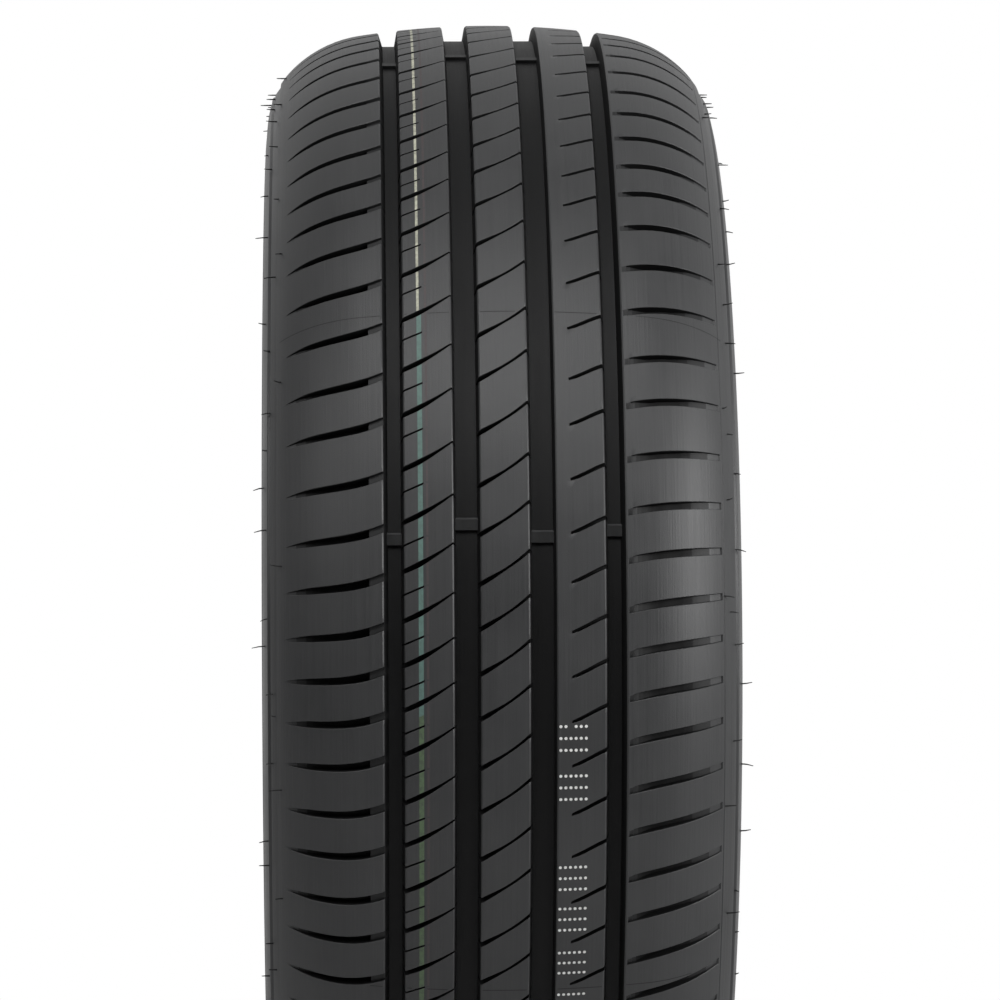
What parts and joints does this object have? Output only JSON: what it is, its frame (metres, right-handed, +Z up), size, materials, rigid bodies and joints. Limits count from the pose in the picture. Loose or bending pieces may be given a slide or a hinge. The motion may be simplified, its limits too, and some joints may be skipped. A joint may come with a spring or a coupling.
{
  "type": "car tyre",
  "caption": "Tubeless road tyre for a car: ribbed tread with straight grooves, slotted shoulders and slanted sipes, round sidewalls and two bead seats for a rim.",
  "frame": {"origin": "centre of the tyre, on the axle line and halfway between the sidewalls", "axes": "+Y along the axle line, towards the tread's right side as pictured; +Z up as the tyre stands upright; +X towards the pictured face of the tread"},
  "size_m": [0.6341, 0.225, 0.6341],
  "materials": {
    "tyre": "satin black rubber"
  },
  "bodies": {
    "root": {"tyre": "tyre"}
  },
  "joints": []
}
